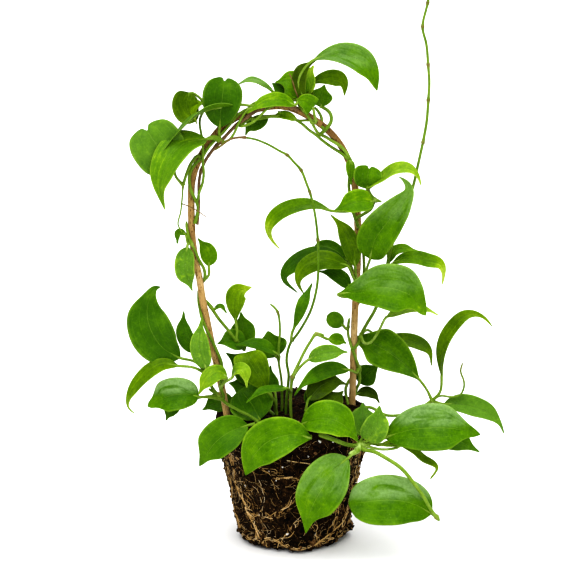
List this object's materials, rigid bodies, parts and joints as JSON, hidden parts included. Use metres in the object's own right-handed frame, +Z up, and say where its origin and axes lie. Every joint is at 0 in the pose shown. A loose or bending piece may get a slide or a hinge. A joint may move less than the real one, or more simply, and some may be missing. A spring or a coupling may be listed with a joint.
{
  "type": "climbing hoya plant on a cane hoop",
  "caption": "Young climbing hoya with glossy pointed leaves, trained up a bent cane hoop and standing bare on its rooted soil ball.",
  "frame": {"origin": "middle of the root ball's flat underside", "axes": "+Z up the plant; -Y is the front, from which the hoop is seen open; +X to the viewer's right"},
  "size_m": [0.2886, 0.1363, 0.438],
  "materials": {
    "cane": "bare cane, dull",
    "bark": "thin brown bark",
    "foliage": "waxy, softly glossy",
    "root": "dry and dull",
    "soil": "crumbly and dull"
  },
  "bodies": {
    "root": {"cane_hoop": "cane", "woody_stem": "bark", "crown_left_spray": "foliage", "crown_top_spray": "foliage", "crown_right_spray": "foliage", "right_upper_spray": "foliage", "right_middle_spray": "foliage", "upright_shoot": "foliage", "right_lower_spray": "foliage", "far_right_spray": "foliage", "rim_runner_spray": "foliage", "trailing_stem": "foliage", "front_pair": "foliage", "left_front_spray": "foliage", "left_lower_spray": "foliage", "left_middle_spray": "foliage", "left_side_shoot": "foliage", "arching_shoot": "foliage", "young_shoot": "foliage", "pale_shoot": "foliage", "centre_left_spray": "foliage", "centre_right_spray": "foliage", "surface_roots": "root", "root_ball": "soil"}
  },
  "joints": []
}
